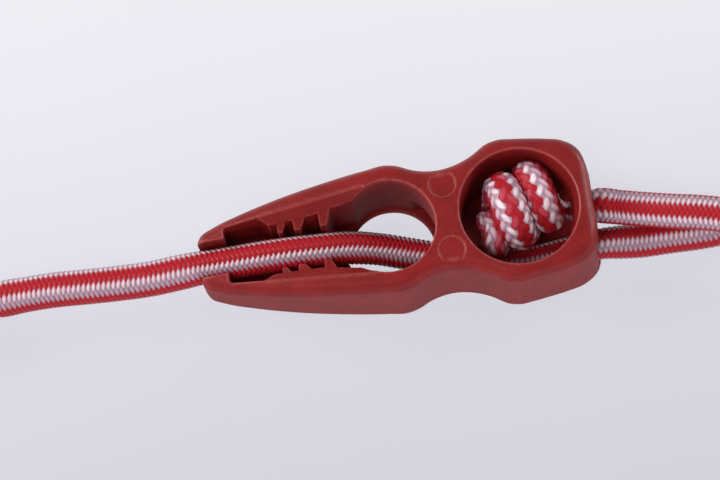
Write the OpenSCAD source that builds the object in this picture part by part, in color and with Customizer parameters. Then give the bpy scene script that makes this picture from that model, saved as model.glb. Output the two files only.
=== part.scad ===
// Moulded shock-cord grip: two toothed jaws on a springy ring, a neck and a knot chamber,
// threaded with one elastic cord that ends in a stopper knot inside the chamber.
// The clip lies on its back on z = 0, jaws towards -X, chamber towards +X, front face up.

/* [Clip] */
// Length of the clip from the jaw tips to the end wall
clip_length = 71; // [67:1:75]
// Thickness of the clip at the ring, neck and chamber
clip_t = 17; // [16:0.5:19]
// Radius of the rounded front edges
front_r = 2.2; // [1:0.1:3]
// Radius of the rounded back edges
back_r = 1.2; // [0.5:0.1:2]

/* [Ring and chamber] */
// X of the ring hole's centre
ring_x = -1.5; // [-2:0.5:-1]
// Radius of the ring hole
ring_r = 8.25; // [7.8:0.05:8.4]
// Width of the thin lip round the ring hole at the back
ring_lip = 0.6; // [0.2:0.1:0.8]
// X of the knot chamber's centre
chamber_x = 21.5; // [21:0.5:22]
// Radius of the knot chamber
chamber_r = 10.4; // [10.3:0.1:10.8]
// Thickness of the floor under the chamber, neck passage and end slot
floor_t = 1; // [0.8:0.1:1]
// Width of the passage through the neck
passage_w = 14.4; // [14.4:0.2:15]
// Height of the passage through the neck
passage_h = 6.6; // [6:0.2:8]
// Width of the slot in the end wall
end_slot_w = 16.2; // [16.2:0.2:17]
// Height of the slot in the end wall
end_slot_h = 9.4; // [9.4:0.2:11]

/* [Jaws] */
// How far the front of the jaws falls towards the tips
tip_drop = 3.4; // [3:0.1:4]
// How far the back of the jaws rises towards the tips
tip_rise = 4.5; // [4:0.1:4.8]
// Gap between the jaw tips
tip_gap = 6.3; // [6.3:0.1:7]
// Gap between the tooth points, which hold the cord
tooth_gap = 6.3; // [6.3:0.1:6.8]
// Width of the slot between the jaws where the teeth begin
slot_w_front = 8.8; // [8.6:0.2:9.4]
// Width of the slot between the jaws where it begins to flare
slot_w_mid = 9.8; // [9.6:0.2:10.2]
// Width of the slot between the jaws where it meets the ring
slot_w_ring = 12.4; // [12:0.2:13]
// Width of the slit between the ledges behind the cord
slit_w = 0.8; // [0.6:0.1:1.2]
// Distance between the ridges of the two sloping lead-ins where the teeth begin
ridge_w = 11.8; // [11:0.2:12.4]
// Angle on the ring, from +X, at which each jaw bends
hinge_angle = 68; // [60:1:80]
// Radius of the round knuckle at each bending place
knuckle_r = 2.3; // [2.1:0.1:2.6]
// Running clearance round each knuckle
knuckle_gap = 0.1; // [0.05:0.05:0.2]

/* [Cord] */
// Diameter of the elastic cord where it lies free
cord_d = 6; // [5.6:0.1:6]
// Thickness of the braided sheath
sheath_t = 0.6; // [0.4:0.1:0.8]

/* [Knots] */
// Half width of a knot's wraps, at the middle of the cord
knot_a = 4.6; // [4.4:0.1:4.7]
// Half height of a knot's wraps, at the middle of the cord
knot_b = 3.9; // [3.9:0.1:4]
// Distance from one wrap to the next
knot_pitch = 5.1; // [5:0.1:5.2]
// Radius of the cord in the wraps, where it is drawn thin
wrap_r = 2.2; // [2:0.1:2.2]
// Radius of the cord that runs inside the wraps, where it is squeezed
heart_r = 1.2; // [1:0.1:1.2]

/* [Hidden] */
$fn = 96;

// Overlap of cuts past a face, and of pieces that grow into each other.
cut = 1;
bite = 0.5;
// Room between the sheath and its core.
core_gap = 0.1;
tip_x = -clip_length / 2;
end_x = clip_length / 2;
cord_r = cord_d / 2;

// Half width of the clip's outline along its length: jaws, ring, waist, chamber, end wall.
outline = [
    [tip_x, 4.2], [tip_x + 1, 4.95], [tip_x + 3.5, 6.05], [-27, 7.5], [-20, 9.05], [-10, 10.6],
    [-4, 11.3], [-0.5, 11.6], [1.5, 11.15], [4, 10], [7.5, 9.25], [11, 9.55], [14.5, 10.85],
    [17.5, 12.65], [19.5, 13.1], [22, 12.9], [25, 12.5], [28, 12],
    [end_x - 4.5, 11.2], [end_x - 2.5, 9.9], [end_x - 1.2, 8.4], [end_x, 5.6]
];
sections = 44;
corner_steps = 3;
// The jaws taper from here to the tips, and the taper eases in over this length to each side.
taper_x = -4;
taper_ease = 7;
// Both ends are rounded, less at the back.
end_round = 1.6;
back_round_share = 0.6;

// Jaw slot, pocket and teeth, as X positions along the jaws.
pocket_x = [-30.3, -24.1];
pocket_w = [10.1, 11.5];
pocket_slope = 2;
// Start, length and crest of each tooth, how far it reaches into the ledge,
// and how far its top stays under the sloping lead-in.
tooth_x = [-20.9, -18, -13.4];
tooth_l = [1.7, 2.3, 2.2];
tooth_crest = [0.8, 1.2, 1.2];
tooth_root = 0.2;
tooth_dip = 0.1;
lead_in_depth = 1.6;
slot_mid_x = -14;
slot_end_x = ring_x - 5.5;
lead_in_end_x = ring_x - 3.5;
ridge_flare = 0.11;
// Each jaw has a thin ledge at the back, behind the cord, that rises towards the tips.
ledge_z = [5.6, floor_t];

// The bending places lie in the middle of the ring's wall.
hinge_ring_r = 9.86;
hinge_at = [
    ring_x + hinge_ring_r * cos(hinge_angle),
    hinge_ring_r * sin(hinge_angle)
];
far = 60;

// Knots: middle, sideways lean of the axis for each mm along it, and how the cord turns at the far end.
knot_at = [chamber_x, 1.6, 10.2];
knot_lean = 0.25;
tail_knot_at = [-85, 0, 6.2];
tail_knot_lean = 0;
wraps = 2.25;
heart_reach = 5.6;
turn_bulge = 3.3;
turn_angle = 270;
rings_per_wrap = 24;
rings_per_turn = 12;
rings_in_heart = 4;
knot_sides = 6;
cord_sides = 8;

// Cord routes: x, y, z and the cord's radius at each point.
exit_a = [
    [end_x, 0.8, 7.4, cord_r], [32.6, 1.1, 7.9, 2.5], [30.4, 2.1, 9, 1.8], [28.8, 2.8, 9.9, 1.4]
];
loop_route = [
    [end_x, 0.8, 7.4, cord_r], [39.4, -0.2, 7.6, cord_r], [42.8, -1.25, 8.15, cord_r],
    [47.8, -2.7, 9, cord_r], [52.8, -4, 9.7, cord_r], [57, -5.3, 10, cord_r],
    [62, -7.6, 9.6, cord_r], [68, -10.9, 7.7, cord_r], [74, -14.6, 5.5, cord_r],
    [80, -17.8, 3.8, cord_r], [86, -19.2, 3.1, cord_r], [92, -18, 3.1, cord_r],
    [97.5, -13.5, 3.1, cord_r], [99.6, -6.6, 3.1, cord_r], [97, 0.5, 3.1, cord_r],
    [91, 4.6, 3.1, cord_r], [84, 5.2, 3.1, cord_r], [77, 3.1, 3.1, cord_r],
    [69.5, -0.6, 3.1, cord_r], [62, -4, 3.1, cord_r], [56.4, -5.4, 3.1, cord_r],
    [52.4, -5.6, 3.1, cord_r], [47.4, -5.5, 3.1, cord_r], [42, -5.45, 3.15, cord_r],
    [38.6, -5.3, 3.55, 2.9], [end_x, -5.2, 4, 2.7]
];
gripped_route = [
    [end_x, -5.2, 4, 2.7], [31, -5.5, 3.8, 2.6], [26, -5.8, 3.7, 2.5], [21, -5.9, 3.7, 2.5],
    [16, -5.2, 3.7, 2.5], [11, -4.1, 3.8, 2.5], [6, -3, 4.1, 2.6], [1, -1.8, 4.8, 2.8],
    [-4, -0.6, 6.2, 2.9], [-9, 0, 7.7, cord_r], [-14, 0, 9, cord_r], [-19, 0, 9.7, cord_r],
    [-24, 0, 9.8, cord_r], [-30, 0, 9.5, cord_r], [tip_x, 0, 9.1, cord_r]
];
tail_route = [
    [tip_x, 0, 9.1, cord_r], [-39, -0.2, 9, cord_r], [-44.5, -0.5, 8.8, cord_r],
    [-50.5, -0.4, 8.6, cord_r], [-56.5, 0.1, 8.4, cord_r], [-62, 0.6, 8.2, cord_r],
    [-67, 0.7, 7.9, cord_r], [-72, 0.6, 7.5, cord_r]
];
tail_exit = [[-72, 0.6, 7.5, cord_r], [-74.6, 0.4, 7, 2.4], [-77, 0.2, 6.5, 1.7]];

// Smooth curve through the outline's points, with each slope taken from the two neighbours.
function slope(p, i) =
    let (a = max(i - 1, 0), b = min(i + 1, len(p) - 1))
    (p[b].y - p[a].y) / (p[b].x - p[a].x);
function span_of(p, x, i = 0) = i >= len(p) - 2 || x <= p[i + 1].x ? i : span_of(p, x, i + 1);
function through(p, x) =
    let (
        i = span_of(p, x),
        h = p[i + 1].x - p[i].x,
        t = (x - p[i].x) / h,
        s = t * t * (3 - 2 * t),
        bend_in = t * (1 - t) * (1 - t) * slope(p, i),
        bend_out = t * t * (1 - t) * slope(p, i + 1)
    )
    p[i].y + (p[i + 1].y - p[i].y) * s + h * (bend_in - bend_out);

// Front and back of the clip along its length: level, then tapering along the jaws.
function eased(d) =
    abs(d) < taper_ease ? (d + taper_ease) * (d + taper_ease) / (4 * taper_ease) : max(0, d);
function taper(x) = eased(taper_x - x) / (taper_x - tip_x);
function rounding(x) =
    let (d = end_round - min(end_x - x, x - tip_x))
    d > 0 ? end_round - sqrt(end_round * end_round - d * d) : 0;
function front_z(x) = clip_t - tip_drop * taper(x) - rounding(x);
function back_z(x) = tip_rise * taper(x) + rounding(x) * back_round_share;

// One cross-section of the clip: a rectangle whose corners are rounded.
function corner(y, z, r, from) =
    [for (k = [0 : corner_steps]) let (a = from + 90 * k / corner_steps) [y + r * cos(a), z + r * sin(a)]];
function section(x) =
    let (w = through(outline, x), f = front_z(x), b = back_z(x))
    concat(
        corner(w - front_r, f - front_r, front_r, 0),
        corner(-w + front_r, f - front_r, front_r, 90),
        corner(-w + back_r, b + back_r, back_r, 180),
        corner(w - back_r, b + back_r, back_r, 270)
    );

// Sections crowd together near both ends, where the outline turns fastest.
function section_x(i) = -end_x * cos(180 * i / sections);

// A closed skin through rings of equal length, as triangles.
function band(n, i, flip) = [
    for (k = [0 : n - 1])
    let (a = i * n + k, b = i * n + (k + 1) % n)
    each flip ? [[a, a + n, b], [b, a + n, b + n]] : [[a, b, a + n], [b, b + n, a + n]]
];
function disc(n, first, flip) =
    [for (k = [1 : n - 2]) flip ? [first, first + k, first + k + 1] : [first, first + k + 1, first + k]];
module skin(rings) {
    n = len(rings[0]);
    last = len(rings) - 1;
    polyhedron(
        points = [for (ring = rings) each ring],
        faces = concat(
            [for (i = [0 : last - 1]) each band(n, i, true)],
            disc(n, 0, true),
            disc(n, last * n, false)
        )
    );
}

// Rings of a cord along a route, turned as little as possible from one to the next.
// An end that runs mostly along X is cut square to X, so that two stretches meet face to face.
function unit(v) = v / norm(v);
function place(p) = [p.x, p.y, p.z];
function end_heading(v) = abs(v.x) > norm([v.y, v.z]) ? [sign(v.x), 0, 0] : unit(v);
function heading(route, i) =
    let (
        last = len(route) - 1,
        v = place(route[min(i + 1, last)]) - place(route[max(i - 1, 0)])
    )
    i == 0 || i == last ? end_heading(v) : unit(v);
function square_to(v, t) = unit(v - (v * t) * t);
function uprights(route) = [
    for (
        i = 0, n = square_to([0, 0, 1], heading(route, 0));
        i < len(route);
        i = i + 1, n = square_to(n, heading(route, min(i, len(route) - 1)))
    ) n
];
function cord_rings(route, sides, less) =
    let (ups = uprights(route))
    [
        for (i = [0 : len(route) - 1])
        let (up = ups[i], side = cross(heading(route, i), up), r = route[i][3] - less)
        [
            for (k = [0 : sides - 1])
            let (a = 360 * (k + 0.5) / sides)
            place(route[i]) + r * (cos(a) * up + sin(a) * side)
        ]
    ];
module core_along(route, sides) {
    skin(cord_rings(route, sides, sheath_t + core_gap));
}
module sheath_along(route, sides) {
    outer = cord_rings(route, sides, 0);
    inner = cord_rings(route, sides, sheath_t);
    last = len(route) - 1;
    count = len(route) * sides;
    polyhedron(
        points = [for (ring = concat(outer, inner)) each ring],
        faces = concat(
            [for (i = [0 : last - 1]) each band(sides, i, true)],
            [for (i = [last + 1 : 2 * last]) each band(sides, i, false)],
            [
                for (k = [0 : sides - 1])
                let (a = k, b = (k + 1) % sides)
                each [[a, b, a + count], [b, b + count, a + count]]
            ],
            [
                for (k = [0 : sides - 1])
                let (a = last * sides + k, b = last * sides + (k + 1) % sides)
                each [[a, a + count, b], [b, a + count, b + count]]
            ]
        )
    );
}

// A barrel knot: in along the middle, round at the far end, then back in wraps about itself.
function ease(t) = t * t * (3 - 2 * t);
function knot_point(at, lean, x, angle, spread, r) = [
    at.x + x,
    at.y + lean * x + spread * knot_a * cos(angle),
    at.z + spread * knot_b * sin(angle),
    r
];
function knot_heart(at, lean, far_x) = [
    for (i = [0 : rings_in_heart])
    let (x = heart_reach + (far_x - heart_reach) * i / rings_in_heart)
    knot_point(at, lean, x, 0, 0, heart_r)
];
function knot_turn(at, lean, from_x, to_x) = [
    for (i = [1 : rings_per_turn - 1])
    let (
        t = i / rings_per_turn,
        spread = sqrt(ease(t)),
        x = from_x + (to_x - from_x) * t - turn_bulge * sin(180 * t)
    )
    knot_point(at, lean, x, turn_angle * t - 90, spread, heart_r + (wrap_r - heart_r) * spread)
];
function knot_wraps(at, lean, first_x, first_turn) = [
    for (i = [first_turn * rings_per_wrap : wraps * rings_per_wrap])
    let (turn = i / rings_per_wrap)
    knot_point(at, lean, first_x + knot_pitch * turn, 90 + 360 * turn, 1, wrap_r)
];
function knot_route(at, lean) =
    let (
        first_x = -knot_pitch,
        first_turn = (turn_angle - 180) / 360
    )
    concat(
        knot_heart(at, lean, first_x),
        knot_turn(at, lean, first_x, first_x + knot_pitch * first_turn),
        knot_wraps(at, lean, first_x, first_turn)
    );
stopper_route = concat(exit_a, knot_route(knot_at, knot_lean));
tail_knot_route = concat(tail_exit, knot_route(tail_knot_at, tail_knot_lean));

// Least gap between stretches of a cord that aren't neighbours along it, and the cord's length.
// Two points are neighbours while they are fewer than this many radii apart along the cord.
neighbours = 3.2;
function length_to(route, i) =
    i == 0 ? 0 : length_to(route, i - 1) + norm(place(route[i]) - place(route[i - 1]));
function least_gap(route) =
    let (along = [for (i = [0 : len(route) - 1]) length_to(route, i)])
    min([
        for (i = [0 : len(route) - 1], j = [0 : i])
        if (along[i] - along[j] > neighbours * (route[i][3] + route[j][3]))
        norm(place(route[i]) - place(route[j])) - route[i][3] - route[j][3]
    ]);
function total(route) = length_to(route, len(route) - 1);
echo(knot_gap = least_gap(stopper_route), loop_gap = least_gap(loop_route));
echo(
    stopper_knot_mm = total(stopper_route), loop_mm = total(loop_route),
    gripped_mm = total(gripped_route), tail_mm = total(tail_route), tail_knot_mm = total(tail_knot_route)
);

// Half of the jaw slot seen from the front, from the tips to the ring.
module slot_side() {
    polygon([
        [tip_x - cut, -bite], [tip_x - cut, tip_gap / 2], [pocket_x[0], tip_gap / 2],
        [pocket_x[0], pocket_w[0] / 2], [pocket_x[1], pocket_w[1] / 2],
        [pocket_x[1] + pocket_slope, wall_y(pocket_x[1] + pocket_slope)], [slot_mid_x, slot_w_mid / 2],
        [slot_end_x, slot_w_ring / 2], [ring_x, slot_w_ring / 2], [ring_x, -bite]
    ]);
}
// Everything in front of the sloping ledges.
module before_ledges() {
    fall = atan((ledge_z[0] - ledge_z[1]) / (slot_end_x - tip_x));
    translate([slot_end_x, -far / 2, ledge_z[1]]) {
        rotate([0, fall, 0]) translate([-far, 0, 0]) cube([far, far, clip_t]);
        cube([far, far, clip_t]);
    }
}
module both_sides() {
    children();
    mirror([0, 1, 0]) children();
}

// Half width of the slot's plain wall behind the teeth.
function wall_y(x) =
    lookup(x, [[pocket_x[1], slot_w_front], [slot_mid_x, slot_w_mid], [slot_end_x, slot_w_ring]]) / 2;
function ridge_y(x) = ridge_w / 2 + ridge_flare * (x - pocket_x[1]);

// Sloping lead-in along the top of one slot wall.
function lead_in_ring(x) = [
    [x, wall_y(x) - bite, front_z(x) - lead_in_depth],
    [x, wall_y(x), front_z(x) - lead_in_depth],
    [x, ridge_y(x), front_z(x)],
    [x, ridge_y(x), clip_t + cut],
    [x, wall_y(x) - bite, clip_t + cut]
];
module lead_in_cut() {
    skin([for (x = [pocket_x[1], slot_mid_x, slot_end_x, lead_in_end_x]) lead_in_ring(x)]);
}

// One saw tooth with a flat crest: steep towards the tips, sloping towards the ring.
// It stands on the ledge and ends at the front under the sloping lead-in.
function ledge_at(x) = lookup(x, [[tip_x, ledge_z[0]], [slot_end_x, ledge_z[1]]]);
function lead_in_z(x, y) =
    front_z(x) - lead_in_depth * (ridge_y(x) - y) / (ridge_y(x) - wall_y(x));
module tooth(x, l, crest) {
    rise = wall_y(x + l) - tooth_gap / 2;
    l_inside = l + (l - crest) * bite / rise;
    plan = [
        [x, wall_y(x) + bite], [x, tooth_gap / 2], [x + crest, tooth_gap / 2],
        [x + l_inside, wall_y(x + l) + bite]
    ];
    skin([
        [for (p = plan) [p.x, p.y, ledge_at(p.x) - tooth_root]],
        [for (p = plan) [p.x, p.y, lead_in_z(p.x, p.y) - tooth_dip]]
    ]);
}

// The whole moulding, before it is parted at the two bending places.
module moulding() {
    difference() {
        skin([for (i = [0 : sections]) let (x = section_x(i)) [for (p = section(x)) [x, p.x, p.y]]]);
        translate([ring_x, 0, floor_t]) cylinder(h = clip_t, r = ring_r);
        translate([ring_x, 0, -cut]) cylinder(h = clip_t, r = ring_r - ring_lip);
        translate([chamber_x, 0, floor_t]) cylinder(h = clip_t, r = chamber_r);
        intersection() {
            linear_extrude(clip_t + cut) both_sides() slot_side();
            before_ledges();
        }
        translate([tip_x - cut, -slit_w / 2, -cut]) cube([ring_x - tip_x, slit_w, clip_t]);
        both_sides() lead_in_cut();
        translate([ring_x, -passage_w / 2, floor_t])
            cube([chamber_x - ring_x, passage_w, passage_h]);
        translate([chamber_x, -end_slot_w / 2, floor_t]) cube([end_x, end_slot_w, end_slot_h]);
    }
}

// The part of the plan that belongs to the upper jaw, with its round knuckle.
module jaw_zone(r) {
    reach = far / 2;
    translate([0, 0, -cut]) {
        linear_extrude(clip_t + 2 * cut)
            polygon([
                [ring_x, 0], [ring_x + reach * cos(hinge_angle), reach * sin(hinge_angle)],
                [-far, reach * sin(hinge_angle)], [-far, 0]
            ]);
        translate(hinge_at) cylinder(h = clip_t + 2 * cut, r = r);
    }
}
module jaw() {
    intersection() {
        moulding();
        jaw_zone(knuckle_r);
    }
    for (i = [0 : len(tooth_x) - 1]) tooth(tooth_x[i], tooth_l[i], tooth_crest[i]);
}

module clip_body() {
    color("firebrick") difference() {
        moulding();
        both_sides() jaw_zone(knuckle_r + knuckle_gap);
    }
}
module upper_jaw() {
    color("firebrick") jaw();
}
module lower_jaw() {
    color("firebrick") mirror([0, 1, 0]) jaw();
}
module stopper_knot_sheath() {
    color("lightcoral") sheath_along(stopper_route, knot_sides);
}
module stopper_knot_core() {
    color("wheat") core_along(stopper_route, knot_sides);
}
module loop_sheath() {
    color("lightcoral") sheath_along(loop_route, cord_sides);
}
module loop_core() {
    color("wheat") core_along(loop_route, cord_sides);
}
module gripped_run_sheath() {
    color("lightcoral") sheath_along(gripped_route, cord_sides);
}
module gripped_run_core() {
    color("wheat") core_along(gripped_route, cord_sides);
}
module tail_sheath() {
    color("lightcoral") sheath_along(tail_route, cord_sides);
}
module tail_core() {
    color("wheat") core_along(tail_route, cord_sides);
}
module tail_knot_sheath() {
    color("lightcoral") sheath_along(tail_knot_route, knot_sides);
}
module tail_knot_core() {
    color("wheat") core_along(tail_knot_route, knot_sides);
}

clip_body();
upper_jaw();
lower_jaw();
stopper_knot_sheath();
stopper_knot_core();
loop_sheath();
loop_core();
gripped_run_sheath();
gripped_run_core();
tail_sheath();
tail_core();
tail_knot_sheath();
tail_knot_core();
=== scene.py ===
"""Looks of a moulded cord grip threaded with a red and white braided elastic cord.

The moulding is meshed from one distance function, so that its edges are rounded as a moulding's are.
The cord is one path, cut into the same stretches as the frame's nodes, and its braid is real relief.
Sizes are in millimetres in the frame's axes, and MM turns them into Blender's metres.
"""
import math

import bmesh
import bpy
import numpy as np
from mathutils import Matrix, Vector


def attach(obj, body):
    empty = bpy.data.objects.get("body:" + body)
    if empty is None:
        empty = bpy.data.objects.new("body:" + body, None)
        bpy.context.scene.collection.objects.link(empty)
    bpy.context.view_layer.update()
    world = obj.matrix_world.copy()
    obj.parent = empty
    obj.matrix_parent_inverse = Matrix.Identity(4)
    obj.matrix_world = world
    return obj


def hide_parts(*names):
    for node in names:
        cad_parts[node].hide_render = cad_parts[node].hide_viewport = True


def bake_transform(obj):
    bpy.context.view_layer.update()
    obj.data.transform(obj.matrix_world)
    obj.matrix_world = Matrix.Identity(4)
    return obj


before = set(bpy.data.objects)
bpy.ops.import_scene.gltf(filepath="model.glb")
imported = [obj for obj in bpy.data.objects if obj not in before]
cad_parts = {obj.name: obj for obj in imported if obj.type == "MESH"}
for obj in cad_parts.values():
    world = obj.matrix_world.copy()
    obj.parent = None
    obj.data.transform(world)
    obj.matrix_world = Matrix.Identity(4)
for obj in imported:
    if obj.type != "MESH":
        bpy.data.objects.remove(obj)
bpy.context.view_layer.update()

MM = 0.001

# Camera
image_width_px = 720
sensor_mm = 36.0
focal_px = 2596.5
camera_at = (7.15, -138.84, 444.99)
camera_right = (0.98799, -0.13512, -0.07503)
camera_up = (0.15148, 0.94283, 0.29689)

# Clip moulding
tip_x = -35.5
end_x = 35.5
clip_t = 17.0
front_r = 2.2
back_r = 1.2
end_r = 1.5
end_front_r = 2.8
end_draft = 1.1
draft_x = 25.0
outline = np.array([
    (tip_x, 4.2), (tip_x + 1, 4.95), (tip_x + 3.5, 6.05), (-27, 7.5), (-20, 9.05), (-10, 10.6),
    (-4, 11.3), (-0.5, 11.6), (1.5, 11.15), (4, 10), (7.5, 9.25), (11, 9.55), (14.5, 10.85),
    (17.5, 12.65), (19.5, 13.1), (22, 12.9), (25, 12.5), (28, 12),
    (end_x - 4.5, 11.2), (end_x - 2.5, 9.9), (end_x - 1.2, 8.4), (end_x, 5.6),
])
taper_x = -4.0
taper_soft = 7.0
tip_drop = 3.4
tip_rise = 4.5
ring_x = -1.5
ring_r = 8.25
ring_lip = 0.6
chamber_x = 21.5
chamber_r = 10.4
chamber_draft = 0.03
end_wall_draft = 0.2
floor_t = 1.0
passage_half_w = 7.2
passage_h = 6.6
end_slot_half_w = 8.1
end_slot_h = 9.4
scallop_depth = 0.9
scallop_half_w = 5.0
tip_half_gap = 3.15
pocket_x = (-30.3, -24.1)
pocket_half_w = (5.05, 5.75)
pocket_slope = 2.0
pocket_corner_r = 0.65
slot_end_x = ring_x - 5.5
slot_x = (pocket_x[1], -14.0, slot_end_x)
slot_half_w = (4.4, 4.9, 6.2)
slit_half_w = 0.4
ledge_z = (5.6, floor_t)
ridge_half_w = 5.9
ridge_flare = 0.11
lead_in_depth = 1.6
lead_in_end_x = ring_x - 3.5
tooth_x = (-20.9, -18, -13.4)
tooth_l = (1.7, 2.3, 2.2)
tooth_crest = (0.8, 1.2, 1.2)
mark_at = (8.9, 6.05)
mark_r = 2.25
mark_depth = 0.16
tooth_root = 1.0
tooth_foot = 0.3
edge_r = 0.28
inner_edge_r = 0.6
scallop_edge_r = 0.6
lip_edge_r = 0.3
mark_edge_r = 0.12
tooth_edge_r = 0.15
parting_z = 2.0
outline_samples = 2801

# Meshing of the moulding, and where it is parted so that the jaws can bend
voxel = 0.29
grid_half_w = 14.0
grid_margin = 1.0
part_x = 6.2
part_margin = 0.5
# How sharply an edge bends where its painted highlight and wear begin and how much more until they are full,
# and how deep under the outer form a wall begins to count as an inner one
edge_bend = 0.9
edge_bend_range = 1.3
inner_depth = 0.6

# Cord
cord_r = 3.0
tail_r = 3.08
wrap_r = 2.5
heart_r = 1.25
knot_a = 4.6
knot_b = 3.9
knot_pitch = 5.1
knot_at = (chamber_x, 1.6, 10.2)
knot_lean = 0.25
tail_knot_at = (-85.0, 0.0, 6.55)
tail_knot_lean = 0.0
wraps = 2.25
heart_reach = 5.6
turn_bulge = 3.3
turn_angle = 270
points_per_wrap = 24
points_per_turn = 12
points_in_heart = 4
# How the wraps lie in each knot: turn, shift in x, y and z, size of the wrap, and the cord's radius
stopper_lie = (
    (0, 4.2, -2.2, -2, 0.8, 2.5), (0.17, 2.9, -2.1, -1.9, 0.8, 2.5), (0.25, -1.2, -0.7, -1.9, 0.83, 2.45),
    (1, -1.7, -0.1, 0.3, 1.03, 3.2), (2, -1.3, 0.1, -0.3, 0.9, 2.95),
)
tail_lie = ((0, 0, 0, 0, 1, wrap_r), (2, 0, 0, 0, 1, wrap_r))
# How the cord is twisted along the stopper knot: distance from the free end, and angle in degrees
stopper_twist = ((0, 55), (6.5, 72), (13, 100), (30, 138), (54, 180), (75, 180))

# Braid: columns of floats all round, which lean one way and the other in turn and mesh like a zip.
# Two columns of white floats and two of red ones follow each other. Each slack value is added in
# the knots, where the braid is loose, and each held value between the jaws, where it is drawn out.
columns = 16
yarn_pitch = 0.89
knot_yarn_pitch = 1.6
float_lean = 0.2
slack_lean = 0.18
held_lean = 0.14
float_fall = 0.34
yarn_crown = 0.28
slack_crown = 0.06
held_white = -0.19
braid_swell = 0.13
# Length over which the braid changes, and where it is held: from this far along the run through the
# clip to this far past its end
change_l = 6.0
held_from = 36.0
held_past = 3.0
braid_turn = math.radians(31.8)
sides = 112
rings_per_pitch = 5

# Cut ends: which end of the stretch is free, then how far out the rim's rings lie and their size
free_ends = {"stopper_knot": 0, "tail_knot": -1}
cut_rim = ((-0.5, 0.76), (0.12, 0.84), (0.1, 0.95), (0, 1))
thread_r = 0.29
thread_sides = 10
thread_in = 1.2
thread_out = 0.1
thread_uneven = 0.5
thread_tip = 0.12
thread_tip_share = 0.7


def camera():
    """Places the camera as it stood for the photograph."""
    right = Vector(camera_right).normalized()
    up = Vector(camera_up).normalized()
    back = right.cross(up)
    data = bpy.data.cameras.new("camera")
    data.sensor_width = sensor_mm
    data.lens = focal_px / image_width_px * sensor_mm
    data.clip_start = 0.01
    data.clip_end = 20.0
    cam = bpy.data.objects.new("camera", data)
    turn = Matrix((right, up, back)).transposed().to_4x4()
    cam.matrix_world = Matrix.Translation(Vector(camera_at) * MM) @ turn
    bpy.context.scene.collection.objects.link(cam)
    bpy.context.scene.camera = cam


def ease(t):
    return t * t * (3 - 2 * t)


# Routes of the cord: x, y, z and radius
def knot_point(at, lean, x, angle, spread, r, shift=(0, 0, 0)):
    a = math.radians(angle)
    y = at[1] + lean * x + spread * knot_a * math.cos(a)
    z = at[2] + spread * knot_b * math.sin(a)
    return (at[0] + x + shift[0], y + shift[1], z + shift[2], r)


def knot_route(at, lean, lie):
    """A barrel knot: in along the middle, round at the far end, then back in wraps about itself."""
    first_x = -knot_pitch
    first_turn = (turn_angle - 180) / 360
    to_x = first_x + knot_pitch * first_turn
    table = np.array(lie, float)

    def lies(turn):
        return [float(np.interp(turn, table[:, 0], table[:, k])) for k in range(1, 6)]

    route = []
    for i in range(points_in_heart + 1):
        x = heart_reach + (first_x - heart_reach) * i / points_in_heart
        route.append(knot_point(at, lean, x, 0, 0, heart_r))
    for i in range(1, points_per_turn):
        t = i / points_per_turn
        spread = math.sqrt(ease(t))
        x = first_x + (to_x - first_x) * t - turn_bulge * math.sin(math.pi * t)
        *shift, size, thick = lies(first_turn * t)
        r = heart_r + (thick - heart_r) * spread
        moved = [spread * v for v in shift]
        route.append(knot_point(at, lean, x, turn_angle * t - 90, spread * size, r, moved))
    for i in range(round(first_turn * points_per_wrap), round(wraps * points_per_wrap) + 1):
        turn = i / points_per_wrap
        *shift, size, thick = lies(turn)
        route.append(knot_point(at, lean, first_x + knot_pitch * turn, 90 + 360 * turn, size, thick, shift))
    return route


stopper_exit = [
    (end_x, 0.8, 7.4, cord_r), (33, 1, 5.8, 2.4), (31, 1.5, 4.3, 1.7), (29.3, 2.1, 4.6, 1.4),
    (28, 2.5, 7, 1.3),
]
loop_route = [
    (end_x, 0.8, 7.4, cord_r), (39.4, -0.2, 7.6, cord_r), (42.8, -1.25, 8.15, cord_r),
    (47.8, -2.7, 9, cord_r), (52.8, -4, 9.7, cord_r), (57, -5.3, 10, cord_r),
    (62, -7.6, 9.6, cord_r), (68, -10.9, 7.7, cord_r), (74, -14.6, 5.5, cord_r),
    (80, -17.8, 3.8, cord_r), (86, -19.2, 3.2, cord_r), (92, -18, 3.2, cord_r),
    (97.5, -13.5, 3.2, cord_r), (99.6, -6.6, 3.2, cord_r), (97, 0.5, 3.2, cord_r),
    (91, 4.6, 3.2, cord_r), (84, 5.2, 3.2, cord_r), (77, 3.1, 3.2, cord_r),
    (69.5, -0.6, 3.2, cord_r), (62, -4, 3.2, cord_r), (56.4, -5.4, 3.2, cord_r),
    (52.4, -5.6, 3.2, cord_r), (47.4, -5.5, 3.2, cord_r), (42, -5.45, 3.22, cord_r),
    (38.6, -5.3, 3.55, 2.9), (end_x, -5.2, 4, 2.7),
]
gripped_route = [
    (end_x, -5.2, 4, 2.7), (31, -5.5, 3.8, 2.6), (26, -5.9, 3.6, 2.5), (21, -6.2, 3.6, 2.5),
    (16, -5.5, 3.6, 2.5), (11, -4.1, 3.8, 2.5), (6, -3, 4.1, 2.6), (1, -1.8, 4.8, 2.8),
    (-4, -0.6, 6.2, 2.9), (-9, 0, 7.7, cord_r), (-14, 0, 9, cord_r), (-19, 0, 9.7, cord_r),
    (-24, 0, 9.8, cord_r), (-30, 0, 9.5, cord_r), (tip_x, 0, 9.1, cord_r),
]
tail_route = [
    (tip_x, 0, 9.1, cord_r), (-39, -0.2, 9, tail_r), (-44.5, -0.5, 8.8, tail_r),
    (-50.5, -0.35, 8.6, tail_r), (-56.5, 0, 8.4, tail_r), (-62, 0.35, 8.2, tail_r),
    (-67, 0.4, 7.9, tail_r), (-72, 0.3, 7.5, tail_r),
]
tail_exit = [(-72, 0.3, 7.5, tail_r), (-74.6, 0.2, 7, 2.4), (-77, 0.1, 6.5, 1.7)]
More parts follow.
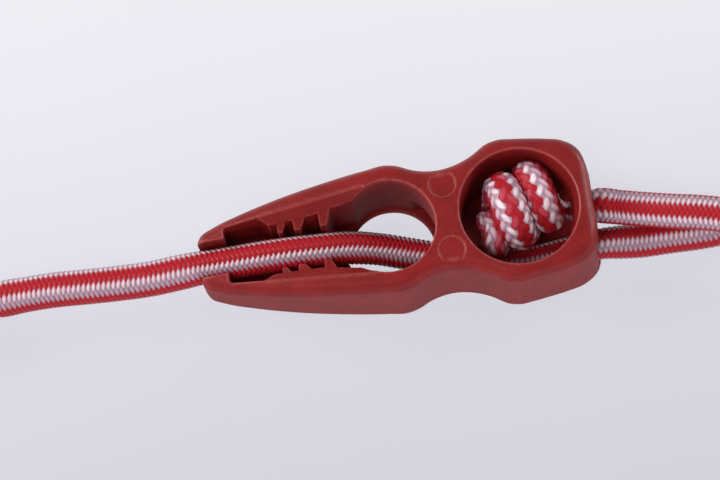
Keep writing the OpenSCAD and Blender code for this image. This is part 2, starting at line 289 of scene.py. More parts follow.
stretches = {
    "stopper_knot": (stopper_exit + knot_route(knot_at, knot_lean, stopper_lie))[::-1],
    "loop": loop_route,
    "gripped_run": gripped_route,
    "tail": tail_route,
    "tail_knot": tail_exit + knot_route(tail_knot_at, tail_knot_lean, tail_lie),
}


def spline(points, t, at):
    """Smooth curve through points given at the values t, read at the values at."""
    slope = np.gradient(points, t, axis=0)
    i = np.clip(np.searchsorted(t, at, side="right") - 1, 0, len(t) - 2)
    h = (t[i + 1] - t[i])[:, None]
    u = ((at - t[i]) / (t[i + 1] - t[i]))[:, None]
    a, b = points[i], points[i + 1]
    bend = u * (1 - u) ** 2 * slope[i] - u * u * (1 - u) * slope[i + 1]
    return a + (b - a) * ease(u) + h * bend


class Cord:
    """The whole cord as one path with its radius, braid phase and an upright direction all along."""

    fine = 0.05

    def __init__(self):
        points, self.ends = [], {}
        for name, route in stretches.items():
            first = max(len(points) - 1, 0)
            points += route[1:] if points else route
            self.ends[name] = (first, len(points) - 1)
        points = np.array(points, float)
        chord = np.r_[0, np.cumsum(np.linalg.norm(np.diff(points[:, :3], axis=0), axis=1))]
        at = np.unique(np.r_[np.arange(0, chord[-1], self.fine), chord])
        dense = spline(points, chord, at)
        along = np.r_[0, np.cumsum(np.linalg.norm(np.diff(dense[:, :3], axis=0), axis=1))]
        self.s = along
        self.path = dense[:, :3]
        self.r = dense[:, 3]
        knots = np.interp(chord, at, along)
        self.ends = {n: (knots[a], knots[b]) for n, (a, b) in self.ends.items()}
        self.heading = np.gradient(self.path, along, axis=0)
        self.heading /= np.linalg.norm(self.heading, axis=1)[:, None]
        self.up = self.uprights()
        past_knot = self.ends["stopper_knot"][1] - change_l
        left = np.maximum(past_knot - along, along - self.ends["tail_knot"][0])
        self.slack = ease(np.clip(left / change_l, 0, 1))
        in_ring = self.ends["gripped_run"][0] + held_from
        at_tips = self.ends["gripped_run"][1] + held_past
        self.held = ease(np.clip(np.minimum(along - in_ring, at_tips - along) / change_l, 0, 1))
        pitch = yarn_pitch + (knot_yarn_pitch - yarn_pitch) * self.slack
        self.phase = np.r_[0, np.cumsum(np.diff(along) / (pitch[1:] + pitch[:-1]) * 2)]
        self.turn = braid_turn + np.radians(np.interp(along, *zip(*stopper_twist)))

    def uprights(self):
        """Directions across the path that turn as little as possible, set level with Z on the tail."""
        up = np.zeros_like(self.path)
        start = int(np.searchsorted(self.s, self.ends["tail"][0]))
        n = np.array((0.0, 0.0, 1.0))
        for span in (range(start, len(up)), range(start, -1, -1)):
            v = n
            for i in span:
                v = v - self.heading[i] * (v @ self.heading[i])
                v = v / np.linalg.norm(v)
                up[i] = v
        return up

    def read(self, values, s):
        if values.ndim == 1:
            return np.interp(s, self.s, values)
        return np.stack([np.interp(s, self.s, values[:, k]) for k in range(values.shape[1])], axis=1)

    def rings(self, name):
        """Distances along the cord of a stretch's rings, a few to each yarn."""
        lo, hi = (self.read(self.phase, np.array([s]))[0] for s in self.ends[name])
        count = int(math.ceil((hi - lo) * rings_per_pitch)) + 1
        inside = np.interp(np.linspace(lo, hi, count)[1:-1], self.phase, self.s)
        return np.r_[self.ends[name][0], inside, self.ends[name][1]]


def braid_relief(phase, angle, slack, held):
    """Depth of the braid under its highest points: the highest of the floats that meet at a place."""
    around = angle / (2 * math.pi) * columns
    leant = float_lean + slack * slack_lean + held * held_lean
    heights = []
    for step in (-1, 0, 1):
        column = np.floor(around) + step
        u = around - column - 0.5
        odd = column % 2
        line = phase + (1 - 2 * odd) * leant * u + 0.5 * odd
        off = 2 * np.abs(line - np.round(line))
        white = (column + 1) % 4 < 1.5
        fall = float_fall * u ** 2 + (yarn_crown + slack * slack_crown) * off ** 2
        heights.append(white * held * held_white - fall)
    return np.max(heights, axis=0)


def new_object(name, verts, faces):
    mesh = bpy.data.meshes.new(name)
    mesh.from_pydata(verts, [], faces)
    mesh.update()
    obj = bpy.data.objects.new(name, mesh)
    bpy.context.scene.collection.objects.link(obj)
    return obj


def grid_faces(rings):
    """Quads between rings of equal length, as an array."""
    i, k = np.meshgrid(np.arange(rings - 1), np.arange(sides), indexing="ij")
    a = i * sides + k
    b = i * sides + (k + 1) % sides
    return np.stack([a, b, b + sides, a + sides], axis=-1).reshape(-1, 4)


def turned_in(centre, radius, heading, end):
    """Folds the last rings of a tube at its free end inwards, as a cut sheath's rim."""
    way = -1 if end == 0 else 1
    last = [end - way * k for k in range(len(cut_rim))]
    at, r, out = centre[end].copy(), radius[last[-1]].copy(), way * heading[end]
    for ring, (further, share) in zip(last, cut_rim):
        centre[ring] = at + further * out
        radius[ring] = share * r


def cut_end(cord, name):
    """Latex threads of the core, as they show where the cord is cut."""
    end = free_ends[name]
    s = cord.ends[name][0 if end == 0 else 1]
    at, heading, up = (cord.read(v, np.array([s]))[0] for v in (cord.path, cord.heading, cord.up))
    out = -heading if end == 0 else heading
    side = np.cross(out, up)
    reach = (cord.read(cord.r, np.array([s]))[0] + braid_swell) * cut_rim[0][1] - thread_r
    angle = 2 * math.pi * np.arange(thread_sides) / thread_sides
    ring = thread_r * (np.cos(angle)[:, None] * up + np.sin(angle)[:, None] * side)
    verts, faces = [], []
    rows = int(reach / thread_r)
    for i in range(-rows, rows + 1):
        for j in range(-rows, rows + 1):
            x, y = thread_r * (2 * i + j), thread_r * math.sqrt(3) * j
            if math.hypot(x, y) > reach:
                continue
            middle = at + x * up + y * side
            tip = thread_out * (1 + thread_uneven * math.sin(5 * i + 3 * j))
            first = len(verts)
            for far, share in ((-thread_in, 1), (tip, 1), (tip + thread_tip, thread_tip_share)):
                verts += list(middle + far * out + share * ring)
            for k in range(2):
                row = first + k * thread_sides
                for m in range(thread_sides):
                    after = (m + 1) % thread_sides
                    faces.append((row + m, row + after, row + thread_sides + after, row + thread_sides + m))
            faces.append(tuple(range(first + 2 * thread_sides, first + 3 * thread_sides)))
    obj = new_object(name + "_cut", np.array(verts) * MM, faces)
    obj.data.polygons.foreach_set("use_smooth", np.ones(len(faces), bool))
    return obj


def cord_piece(cord, name):
    """One stretch of the cord as a tube whose surface has the braid's relief."""
    s = cord.rings(name)
    centre, heading, up = (cord.read(v, s) for v in (cord.path, cord.heading, cord.up))
    up -= heading * (up * heading).sum(1)[:, None]
    up /= np.linalg.norm(up, axis=1)[:, None]
    side = np.cross(heading, up)
    r, phase, twist = (cord.read(v, s) for v in (cord.r, cord.phase, cord.turn))
    lie = {"slack": cord.read(cord.slack, s), "held": cord.read(cord.held, s)}
    angle = 2 * math.pi * np.arange(sides) / sides
    turned = angle[None, :] + twist[:, None]
    relief = braid_relief(phase[:, None], turned, *(v[:, None] for v in lie.values()))
    scale = np.minimum(r / cord_r, 1)
    radius = r[:, None] + braid_swell + relief * scale[:, None]
    if name in free_ends:
        turned_in(centre, radius, heading, free_ends[name])
    across = np.cos(angle)[None, :, None] * up[:, None, :] + np.sin(angle)[None, :, None] * side[:, None, :]
    verts = (centre[:, None, :] + radius[:, :, None] * across).reshape(-1, 3)
    quads = grid_faces(len(s))
    obj = new_object(name + "_cord", verts * MM, quads.tolist())
    obj.data.polygons.foreach_set("use_smooth", np.ones(len(quads), bool))
    ring, k = quads // sides, quads % sides
    k[:, 1:3] = np.where(k[:, 1:3] == 0, sides, k[:, 1:3])
    turn = k / sides + twist[ring] / (2 * math.pi)
    uv = np.stack([phase[ring], turn], axis=-1)
    layer = obj.data.uv_layers.new(name="braid")
    layer.data.foreach_set("uv", uv.astype(np.float32).ravel())
    for key, values in lie.items():
        kept = obj.data.attributes.new(key, "FLOAT", "POINT")
        kept.data.foreach_set("value", np.repeat(values, sides).astype(np.float32))
    return obj


# Nodes of materials
class Nodes:
    """Short names for making and joining shader nodes."""

    def __init__(self, tree):
        self.tree = tree

    def add(self, kind, inputs=(), **settings):
        node = self.tree.nodes.new(kind)
        for key, value in settings.items():
            setattr(node, key, value)
        for key, value in dict(inputs).items():
            self.put(node.inputs[key], value)
        return node

    def put(self, socket, value):
        if isinstance(value, bpy.types.NodeSocket):
            self.tree.links.new(value, socket)
        else:
            socket.default_value = value

    def math(self, operation, a, b=0.0, c=0.0):
        return self.add("ShaderNodeMath", {0: a, 1: b, 2: c}, operation=operation).outputs[0]

    def mix(self, share, a, b):
        node = self.add("ShaderNodeMix", {0: share, 6: a, 7: b}, data_type="RGBA")
        return node.outputs[2]

    def blend(self, share, a, b):
        return self.add("ShaderNodeMix", {0: share, 2: a, 3: b}, data_type="FLOAT").outputs[0]

    def ramp(self, value, low, high, to_low=0.0, to_high=1.0):
        given = {0: value, 1: low, 2: high, 3: to_low, 4: to_high}
        return self.add("ShaderNodeMapRange", given, interpolation_type="SMOOTHSTEP").outputs[0]


def new_material(name):
    material = bpy.data.materials.new(name)
    material.use_nodes = True
    material.node_tree.nodes.clear()
    n = Nodes(material.node_tree)
    shader = n.add("ShaderNodeBsdfPrincipled")
    out = n.add("ShaderNodeOutputMaterial")
    n.tree.links.new(shader.outputs[0], out.inputs[0])
    return material, n, shader


def braid_material():
    """White and red floats, each a bundle of fine glossy filaments, where the relief puts them, with light
    and shade painted into their colour: painted shade in the creases between floats, lit and shaded white
    columns of a painted sheen, white painted lighter between the jaws, and red floats painted pink as sheen
    in the knots.
    """
    # White yarn painted lit, white painted in shade, and white painted in the shade of the creases between
    # floats
    white, white_painted_shade, white_crease_shade = (0.79, 0.595, 0.67, 1), (0.46, 0.325, 0.4, 1), (0.26, 0.12, 0.17, 1)
    # White painted lighter where the cord is held or slack, and white painted in shade in the knots
    loose_white, loose_white_painted_shade = (0.92, 0.74, 0.81, 1), (0.72, 0.48, 0.57, 1)
    # Red yarn, red painted in the shade of the creases, and the pink of a painted sheen on red floats
    red, red_crease_shade, red_sheen_pink = (0.43, 0.017, 0.026, 1), (0.35, 0.012, 0.019, 1), (0.62, 0.13, 0.2, 1)
    material, n, shader = new_material("braid")
    uv = n.add("ShaderNodeUVMap", uv_map="braid").outputs[0]
    apart = n.add("ShaderNodeSeparateXYZ", {0: uv})
    phase, around = apart.outputs[0], n.math("MULTIPLY", apart.outputs[1], float(columns))
    slack = n.add("ShaderNodeAttribute", attribute_name="slack").outputs["Fac"]
    held = n.add("ShaderNodeAttribute", attribute_name="held").outputs["Fac"]
    leant = n.math("MULTIPLY_ADD", slack, slack_lean, n.math("MULTIPLY_ADD", held, held_lean, float_lean))
    crown = n.math("MULTIPLY_ADD", slack, slack_crown, yarn_crown)
    best = None
    for step in (-1.0, 0.0, 1.0):
        column = n.math("ADD", n.math("FLOOR", around), step)
        u = n.math("SUBTRACT", n.math("SUBTRACT", around, column), 0.5)
        odd = n.math("FLOORED_MODULO", column, 2.0)
        way = n.math("MULTIPLY_ADD", odd, -2.0, 1.0)
        leans = n.math("MULTIPLY", way, leant)
        line = n.math("MULTIPLY_ADD", leans, u, n.math("MULTIPLY_ADD", odd, 0.5, phase))
        off = n.math("MULTIPLY", n.math("SUBTRACT", line, n.math("ROUND", line)), 2.0)
        is_white = n.math("LESS_THAN", n.math("FLOORED_MODULO", n.math("ADD", column, 1.0), 4.0), 1.5)
        across = n.math("MULTIPLY", n.math("MULTIPLY", off, off), crown)
        fall = n.math("MULTIPLY_ADD", n.math("MULTIPLY", u, u), float_fall, across)
        sunk = n.math("MULTIPLY", n.math("MULTIPLY", is_white, held), held_white)
        height = n.math("SUBTRACT", sunk, fall)
        found = (height, fall, is_white, column, line)
        if best is None:
            best = found
        else:
            won = n.math("GREATER_THAN", height, best[0])
            best = [n.blend(won, a, b) for a, b in zip(best, found)]
    fall, is_white, column, line = best[1:]
    place = n.add("ShaderNodeCombineXYZ", {0: n.math("MULTIPLY", line, 8.0), 1: around})
    fibre = n.add("ShaderNodeTexNoise", {"Vector": place.outputs[0], "Scale": 1.0, "Detail": 2.0}).outputs[0]
    which = n.add("ShaderNodeCombineXYZ", {0: column, 1: n.math("ROUND", line)})
    chance = n.add("ShaderNodeTexWhiteNoise", {"Vector": which.outputs[0]}).outputs[0]
    # Half of the white columns are painted lit and the other half painted in shade, as the filaments' sheen
    # falls one way
    lit_column = n.math("LESS_THAN", n.math("FLOORED_MODULO", column, 8.0), 3.5)
    # The white painted in shade, paler in the knots
    far = n.mix(slack, white_painted_shade, loose_white_painted_shade)
    # The painted lit white, painted lighter between the jaws against the shade where the white floats sink,
    # and lighter in the knots
    near = n.mix(n.math("MAXIMUM", held, slack), white, loose_white)
    # In the knots red floats picked at random are painted pink as a painted sheen
    sheen_share = n.math("MULTIPLY", n.ramp(chance, 0.3, 0.85), n.math("MULTIPLY", slack, 0.85))
    high = n.mix(is_white, n.mix(sheen_share, red, red_sheen_pink), n.mix(lit_column, far, near))
    # Painted shade where the floats dip into the creases between them, broken by the fibres' streaks, with a
    # random tone per float
    low = n.mix(is_white, red_crease_shade, white_crease_shade)
    crest = n.ramp(fall, 0.03, 0.17, 1.0, 0.25)
    shade = n.math("MULTIPLY", crest, n.ramp(fibre, 0.25, 0.6, 0.7, 1.0))
    toned = n.math("MULTIPLY", shade, n.math("MULTIPLY_ADD", chance, 0.14, 0.86))
    n.put(shader.inputs["Base Color"], n.mix(toned, low, high))
    n.put(shader.inputs["Roughness"], n.ramp(fibre, 0.3, 0.7, 0.34, 0.48))
    n.put(shader.inputs["Specular IOR Level"], n.ramp(is_white, 0.0, 1.0, 0.15, 0.6))
    bump = n.add("ShaderNodeBump", {"Height": fibre, "Strength": 0.35, "Distance": 0.05 * MM})
    n.put(shader.inputs["Normal"], bump.outputs[0])
    return material


def latex_material():
    """Matt, slightly yellowed latex."""
    pale, yellowed = (0.62, 0.52, 0.36, 1), (0.5, 0.4, 0.25, 1)
    material, n, shader = new_material("rubber_core")
    place = n.add("ShaderNodeTexCoord").outputs["Object"]
    spots = n.add("ShaderNodeTexNoise", {"Vector": place, "Scale": 900.0, "Detail": 2.0}).outputs[0]
    colour = n.mix(n.ramp(spots, 0.35, 0.7), pale, yellowed)
    n.put(shader.inputs["Base Color"], colour)
    n.put(shader.inputs["Roughness"], n.ramp(spots, 0.3, 0.7, 0.55, 0.75))
    return material


def plastic_material():
    """Deep red moulded plastic: fine grain, duller walls, slightly mottled, with thin pale edges painted as
    highlight and wear.
    """
    body, deep, pale_highlight_and_wear = (0.235, 0.0115, 0.0115, 1), (0.195, 0.009, 0.0095, 1), (0.4, 0.09, 0.085, 1)
    material, n, shader = new_material("clip_plastic")
    place = n.add("ShaderNodeAttribute", attribute_name="rest").outputs["Vector"]
    edge = n.add("ShaderNodeAttribute", attribute_name="edge").outputs["Fac"]
    inner = n.add("ShaderNodeAttribute", attribute_name="inner").outputs["Fac"]
    cloud = n.add("ShaderNodeTexNoise", {"Vector": place, "Scale": 0.22, "Detail": 3.0})
    grain = n.add("ShaderNodeTexNoise", {"Vector": place, "Scale": 3.4, "Detail": 3.0, "Roughness": 0.65})
    speck = n.add("ShaderNodeTexNoise", {"Vector": place, "Scale": 7.5, "Detail": 1.0})
    colour = n.mix(n.ramp(cloud.outputs[0], 0.35, 0.65), body, deep)
    dotted = n.math("MULTIPLY", n.ramp(speck.outputs[0], 0.54, 0.68), 0.2)
    colour = n.mix(dotted, colour, pale_highlight_and_wear)
    broken = n.ramp(grain.outputs[0], 0.3, 0.6, 0.35, 1.0)
    # Narrow outer edges painted pale as a painted highlight along them and as wear, broken up by the grain
    colour = n.mix(n.math("MULTIPLY", edge, n.math("MULTIPLY", broken, 0.66)), colour, pale_highlight_and_wear)
    height = n.add("ShaderNodeSeparateXYZ", {0: place}).outputs[2]
    line = n.ramp(n.math("ABSOLUTE", n.math("SUBTRACT", height, parting_z)), 0.03, 0.11, 1.0, 0.0)
    colour = n.mix(n.math("MULTIPLY", line, 0.12), colour, pale_highlight_and_wear)
    n.put(shader.inputs["Base Color"], colour)
    facing = n.add("ShaderNodeSeparateXYZ", {0: n.add("ShaderNodeNewGeometry").outputs["Normal"]}).outputs[2]
    wall = n.ramp(facing, 0.2, 0.8, 1.0, 0.0)
    even = n.ramp(grain.outputs[0], 0.3, 0.7, 0.28, 0.44)
    n.put(shader.inputs["Roughness"], n.math("MULTIPLY_ADD", wall, 0.2, even))
    dulled = n.math("MULTIPLY", wall, n.math("MULTIPLY_ADD", inner, 0.16, 0.16))
    n.put(shader.inputs["Specular IOR Level"], n.math("SUBTRACT", 0.38, dulled))
    rough = n.math("ADD", grain.outputs[0], n.math("MULTIPLY", line, 0.6))
    bump = n.add("ShaderNodeBump", {"Height": rough, "Strength": 0.5, "Distance": 0.04 * MM})
    n.put(shader.inputs["Normal"], bump.outputs[0])
    return material


# Distance function of the moulding, in millimetres, negative inside
def half_width(x):
    return spline(outline[:, 1:], outline[:, 0], np.clip(x, tip_x, end_x))[:, 0]


half_width_x = np.linspace(tip_x, end_x, outline_samples)
half_width_y = half_width(half_width_x)
half_width_slope = np.gradient(half_width_y, half_width_x)


def soft_max(a, b, r):
    """The larger of two distances, with the edge between them rounded."""
    both = np.maximum(r + np.stack([a, b]), 0)
    return np.minimum(np.maximum(a, b), -r) + np.sqrt((both ** 2).sum(0))


def soft_cut(a, b, r=edge_r):
    """Distance a with the shape b taken out."""
    return soft_max(a, -b, r)


def soft_min(a, b, r):
    return -soft_max(-a, -b, r)


def jaw_taper(x):
    along = taper_x - x
    eased = (along + taper_soft) ** 2 / (4 * taper_soft)
    return np.where(np.abs(along) < taper_soft, eased, np.maximum(along, 0)) / (taper_x - tip_x)


def front_z(x):
    return clip_t - tip_drop * jaw_taper(x)


def slot_wall(x):
    """Half width of the slot between the jaws, behind the teeth."""
    return np.interp(x, slot_x, slot_half_w)


def between(value, low, high):
    return np.maximum(low - value, value - high)


def drafted(x, z):
    """X that makes the end wall reach further at the back than at the front."""
    reach = np.clip((x - draft_x) / (end_x - draft_x), 0, 1)
    return x - end_draft * (0.5 - z / clip_t) * reach


def outer_form(x, y, z):
    x = drafted(x, z)
    lean = 1 / np.sqrt(1 + np.interp(x, half_width_x, half_width_slope) ** 2)
    side = (y - np.interp(x, half_width_x, half_width_y)) * lean
    front = soft_max(side, z - front_z(x), front_r)
    back = soft_max(side, tip_rise * jaw_taper(x) - z, back_r)
    front = soft_max(front, x - end_x, end_front_r)
    ends = np.maximum(tip_x - x, x - end_x)
    return soft_max(np.maximum(front, back), ends, end_r)


def jaw_slot(x, y, z):
    """Slot between the jaws: mouth, pocket, the stretch with the teeth, and the slit behind the cord."""
    mouth = np.maximum(y - tip_half_gap, x - (pocket_x[0] + pocket_x[1]) / 2)
    x_past = pocket_x[1] + pocket_slope
    wall = np.interp(x, (*pocket_x, x_past), (*pocket_half_w, slot_half_w[0]))
    pocket = soft_max(y - wall, between(x, pocket_x[0], x_past), pocket_corner_r)
    inner = np.maximum(y - slot_wall(x), between(x, (pocket_x[0] + pocket_x[1]) / 2, ring_x))
    plan = np.minimum(np.minimum(mouth, pocket), inner)
    channel = soft_max(plan, np.interp(x, (tip_x, slot_end_x), ledge_z) - z, inner_edge_r)
    return np.minimum(channel, np.maximum(y - slit_half_w, x - ring_x))


def lead_in_plane(x, y, z):
    """Distance above the sloping face along the slot's front edge."""
    width = ridge_half_w + ridge_flare * (x - pocket_x[1]) - slot_wall(x)
    rise = width * (front_z(x) - lead_in_depth - z) + lead_in_depth * (y - slot_wall(x))
    return rise / np.hypot(width, lead_in_depth)


def teeth(x, y, z):
    """Saw teeth with flat crests, steep towards the tips, from the ledge up to the sloping face."""
    found = np.full(x.shape, np.inf)
    for start, length, crest in zip(tooth_x, tooth_l, tooth_crest):
        run = length - crest
        rise = slot_wall(np.array(start + length)) - tip_half_gap
        slope = (rise * (x - start - crest) - run * (y - tip_half_gap)) / math.hypot(rise, run)
        across = between(y, tip_half_gap, slot_wall(x) + tooth_root)
        found = np.minimum(found, np.maximum(np.maximum(start - x, slope), across))
    foot = np.interp(x, (tip_x, slot_end_x), ledge_z) - tooth_foot
    return soft_max(found, np.maximum(-lead_in_plane(x, y, z), foot - z), tooth_edge_r)


def moulding(p):
    """Distance from the moulding's surface at the points p."""
    x, y, z = p[:, 0], np.abs(p[:, 1]), p[:, 2]
    d = outer_form(x, y, z)
    scallop_r = (scallop_half_w ** 2 + scallop_depth ** 2) / (2 * scallop_depth)
    scallop = np.hypot(drafted(x, z) - end_x - scallop_r + scallop_depth, y) - scallop_r
    d = soft_cut(d, scallop, scallop_edge_r)
    draft = chamber_draft + end_wall_draft * np.clip((x - chamber_x) / chamber_r, 0, 1) ** 2
    inside = np.hypot(x - chamber_x, y) - chamber_r + draft * (clip_t - z)
    chamber = soft_max(inside, floor_t - z, inner_edge_r)
    passage = soft_max(np.maximum(y - passage_half_w, between(x, ring_x, chamber_x)),
                       between(z, floor_t, floor_t + passage_h), inner_edge_r)
    way_out = soft_max(np.maximum(y - end_slot_half_w, chamber_x - x),
                       between(z, floor_t, floor_t + end_slot_h), inner_edge_r)
    bore = np.hypot(x - ring_x, y) - ring_r
    ring = np.minimum(soft_max(bore, floor_t - z, lip_edge_r), bore + ring_lip)
    lead_in = np.maximum(lead_in_plane(x, y, z), between(x, pocket_x[1], lead_in_end_x))
    slot = np.minimum(jaw_slot(x, y, z), lead_in)
    d = soft_cut(d, np.minimum(chamber, np.minimum(passage, way_out)))
    d = soft_cut(d, np.minimum(ring, slot))
    mark = np.maximum(np.hypot(x - mark_at[0], y - mark_at[1]) - mark_r, clip_t - mark_depth - z)
    d = soft_cut(d, mark, mark_edge_r)
    return soft_min(d, teeth(x, y, z), tooth_edge_r)


def slope_of(p, step=0.04):
    """Unit direction out of the moulding at the points p."""
    g = np.stack([moulding(p + step * e) - moulding(p - step * e) for e in np.eye(3)], axis=1)
    return g / np.maximum(np.linalg.norm(g, axis=1), 1e-9)[:, None]


def edges_of(p, step=0.3):
    """0 on flat places to 1 on narrow outer edges, from how the distance function bends."""
    bend = sum(moulding(p + step * e) + moulding(p - step * e) for e in np.eye(3)) - 6 * moulding(p)
    return np.clip((bend / step ** 2 - edge_bend) / edge_bend_range, 0, 1)


def moulding_mesh():
    """Points and quads of the moulding's surface on a grid, then moved onto the surface."""
    low = np.array((tip_x - grid_margin, -grid_half_w, -grid_margin))
    high = np.array((end_x + grid_margin, grid_half_w, clip_t + grid_margin))
    counts = np.ceil((high - low) / voxel).astype(int)
    axes = [low[k] + voxel * np.arange(counts[k]) for k in range(3)]
    grid = np.stack(np.meshgrid(*axes, indexing="ij"), axis=-1)
    d = moulding(grid.reshape(-1, 3)).reshape(counts)
    inside = d < 0
    cells = counts - 1
    total, hits = np.zeros((*cells, 3)), np.zeros(cells)
    both_ends = (slice(0, -1), slice(1, None))
    for axis in range(3):
        others = [k for k in range(3) if k != axis]
        for a in (0, 1):
            for b in (0, 1):
                first = [None] * 3
                first[others[0]], first[others[1]] = both_ends[a], both_ends[b]
                second = list(first)
                first[axis], second[axis] = both_ends
                d0, d1 = d[tuple(first)], d[tuple(second)]
                cross = (d0 < 0) != (d1 < 0)
                t = np.where(cross, d0 / np.where(cross, d0 - d1, 1), 0)
                spot = np.zeros((*cells, 3))
                spot[..., axis] = t
                spot[..., others[0]], spot[..., others[1]] = a, b
                total += spot * cross[..., None]
                hits += cross
    used = hits > 0
    index = np.full(cells, -1)
    index[used] = np.arange(used.sum())
    where = np.argwhere(used)
    verts = low + voxel * (where + total[used] / hits[used][:, None])
    quads = []
    for axis in range(3):
        u, v = (axis + 1) % 3, (axis + 2) % 3
        a = np.moveaxis(inside, (axis, u, v), (0, 1, 2))
        ids = np.moveaxis(index, (axis, u, v), (0, 1, 2))
        begin, past = a[:-1, 1:-1, 1:-1], a[1:, 1:-1, 1:-1]
        i, j, k = np.nonzero(begin != past)
        j, k = j + 1, k + 1
        quad = np.stack([ids[i, j - 1, k - 1], ids[i, j, k - 1], ids[i, j, k], ids[i, j - 1, k]], axis=1)
        flip = ~begin[i, j - 1, k - 1]
        quad[flip] = quad[flip][:, ::-1]
        quads.append(quad)
    return settle(verts, np.concatenate(quads))


def settle(verts, quads, rounds=3, slide=0.5, pull=0.9):
    """Evens out the points along the surface and puts them back on it."""
    edges = np.concatenate([quads[:, [k, (k + 1) % 4]] for k in range(4)])
    count = np.bincount(edges[:, 0], minlength=len(verts))[:, None]
    for i in range(rounds):
        mean = np.stack([np.bincount(edges[:, 0], verts[edges[:, 1], k], len(verts)) for k in range(3)], 1)
        n = slope_of(verts)
        move = mean / count - verts
        move -= n * (move * n).sum(1)[:, None]
        verts = verts + slide * move
        for j in range(2):
            verts = verts - slope_of(verts) * moulding(verts)[:, None] * pull
    return verts, quads


def moulding_piece(name, whole, keep_low, keep_upper=None):
    """The part of the moulding on one side of the parting plane, closed there."""
    bm = bmesh.new()
    bm.from_mesh(whole)
    if keep_upper is not None:
        past = (part_x + part_margin) * MM
        gone = [v for v in bm.verts if (v.co.y > 0) != keep_upper and v.co.x < past]
        bmesh.ops.delete(bm, geom=gone, context="VERTS")
    geom = bm.verts[:] + bm.edges[:] + bm.faces[:]
    cut = bmesh.ops.bisect_plane(bm, geom=geom, plane_co=(part_x * MM, 0, 0), plane_no=(1, 0, 0),
                                 clear_outer=keep_low, clear_inner=not keep_low)
    rim = [e for e in cut["geom_cut"] if isinstance(e, bmesh.types.BMEdge)]
    caps = bmesh.ops.edgeloop_fill(bm, edges=rim)["faces"]
    bm.faces.index_update()
    cap_at = {f.index for f in caps}
    mesh = bpy.data.meshes.new(name)
    bm.to_mesh(mesh)
    bm.free()
    obj = bpy.data.objects.new(name, mesh)
    bpy.context.scene.collection.objects.link(obj)
    finish_surface(mesh, cap_at, 1.0 if keep_low else -1.0)
    return obj


def finish_surface(mesh, caps, cap_way):
    """Smooth normals from the distance function, and what the material needs to know of each point."""
    p = np.empty(len(mesh.vertices) * 3)
    mesh.vertices.foreach_get("co", p)
    p = p.reshape(-1, 3) / MM
    mesh.polygons.foreach_set("use_smooth", np.ones(len(mesh.polygons), bool))
    corners = np.empty(len(mesh.loops), int)
    mesh.loops.foreach_get("vertex_index", corners)
    normals = slope_of(p)[corners]
    for face in caps:
        loops = mesh.polygons[face].loop_indices
        normals[list(loops)] = (cap_way, 0, 0)
    inner = np.clip(-outer_form(p[:, 0], np.abs(p[:, 1]), p[:, 2]) - inner_depth, 0, 1)
    rest = mesh.attributes.new("rest", "FLOAT_VECTOR", "POINT")
    rest.data.foreach_set("vector", p.astype(np.float32).ravel())
    for key, values in (("edge", edges_of(p)), ("inner", inner)):
        kept = mesh.attributes.new(key, "FLOAT", "POINT")
        kept.data.foreach_set("value", values.astype(np.float32))
    mesh.normals_split_custom_set(normals.tolist())


def area_lamp(name, place, size, power, colour, mirrored=True):
    data = bpy.data.lights.new(name, "AREA")
    data.shape = "RECTANGLE"
    data.size, data.size_y = size
    data.energy = power
    data.color = colour
    lamp = bpy.data.objects.new(name, data)
    lamp.location = place
    lamp.rotation_euler = (-Vector(place)).to_track_quat("-Z", "Y").to_euler()
    lamp.visible_glossy = mirrored
    bpy.context.scene.collection.objects.link(lamp)


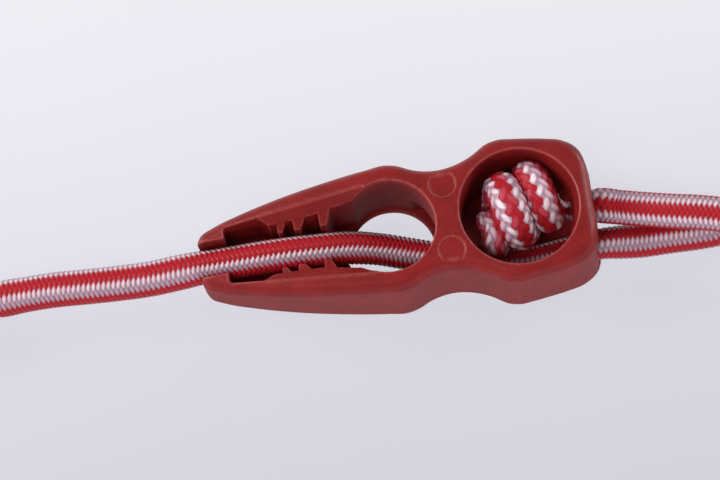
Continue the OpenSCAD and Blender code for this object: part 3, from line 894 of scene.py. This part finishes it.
def studio():
    """Pale floor, a grey surround that darkens overhead, and soft lamps."""
    half, even_share = 4.0, 0.86
    floor_near, floor_far = (0.625, 0.616, 0.695, 1), (0.845, 0.837, 0.89, 1)
    sky_low, sky_high = (0.4, 0.405, 0.43, 1), (0.13, 0.13, 0.136, 1)
    floor = new_object("floor", [(-half, -half, 0), (half, -half, 0), (half, half, 0), (-half, half, 0)],
                       [(0, 1, 2, 3)])
    material, n, shader = new_material("floor")
    shader.inputs["Base Color"].default_value = (0.78, 0.785, 0.82, 1)
    shader.inputs["Roughness"].default_value = 0.7
    shader.inputs["Specular IOR Level"].default_value = 0.1
    place = n.add("ShaderNodeTexCoord").outputs["Object"]
    across = n.add("ShaderNodeSeparateXYZ", {0: place}).outputs[1]
    pale = n.mix(n.ramp(across, -0.06, 0.06), floor_near, floor_far)
    glow = n.add("ShaderNodeEmission", {0: pale, 1: 1.0})
    path = n.add("ShaderNodeLightPath").outputs
    bounced = n.math("ADD", path["Is Glossy Ray"], path["Is Transmission Ray"])
    seen = n.math("ADD", path["Is Camera Ray"], bounced)
    share = n.math("MULTIPLY", n.math("MINIMUM", seen, 1.0), even_share)
    both = n.add("ShaderNodeMixShader", {0: share, 1: shader.outputs[0], 2: glow.outputs[0]})
    n.put(n.tree.nodes["Material Output"].inputs[0], both.outputs[0])
    floor.data.materials.append(material)
    world = bpy.data.worlds.new("studio")
    world.use_nodes = True
    n = Nodes(world.node_tree)
    world.node_tree.nodes.clear()
    way = n.add("ShaderNodeTexCoord").outputs["Generated"]
    height = n.add("ShaderNodeSeparateXYZ", {0: way}).outputs[2]
    colour = n.mix(n.ramp(height, 0.15, 0.75), sky_low, sky_high)
    back = n.add("ShaderNodeBackground", {0: colour, 1: 1.0})
    out = n.add("ShaderNodeOutputWorld")
    world.node_tree.links.new(back.outputs[0], out.inputs[0])
    bpy.context.scene.world = world
    area_lamp("key", (-0.85, 0.32, 0.62), (0.6, 0.6), 9.4, (1.0, 0.98, 0.97))
    area_lamp("top", (-0.35, -0.45, 1.0), (0.5, 0.5), 5.2, (1.0, 0.99, 0.98), mirrored=False)
    area_lamp("fill", (0.4, -0.95, 0.24), (0.7, 0.4), 3.3, (0.98, 0.98, 1.0), mirrored=False)
    area_lamp("rim", (0.72, 0.4, 0.46), (0.4, 0.4), 3.2, (1.0, 0.99, 0.98))


def clip_pieces():
    plastic = plastic_material()
    verts, quads = moulding_mesh()
    whole = bpy.data.meshes.new("moulding")
    whole.from_pydata(verts * MM, [], quads.tolist())
    body = moulding_piece("clip_body_shell", whole, False)
    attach(body, "clip")
    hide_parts("clip_body")
    shown = [body]
    for jaw, upper in (("upper_jaw", True), ("lower_jaw", False)):
        piece = moulding_piece(jaw + "_shell", whole, True, upper)
        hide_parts(jaw)
        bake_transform(piece)
        shown.append(piece)
    for piece in shown:
        piece.data.materials.append(plastic)
    bpy.data.meshes.remove(whole)


def cord_pieces():
    braid, latex = braid_material(), latex_material()
    cord = Cord()
    for name in stretches:
        piece = cord_piece(cord, name)
        piece.data.materials.append(braid)
        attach(piece, "clip")
        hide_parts(name + "_sheath", name + "_core")
    for name in free_ends:
        piece = cut_end(cord, name)
        piece.data.materials.append(latex)
        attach(piece, "clip")


bpy.context.scene.view_settings.view_transform = "Standard"
camera()
cord_pieces()
clip_pieces()
studio()
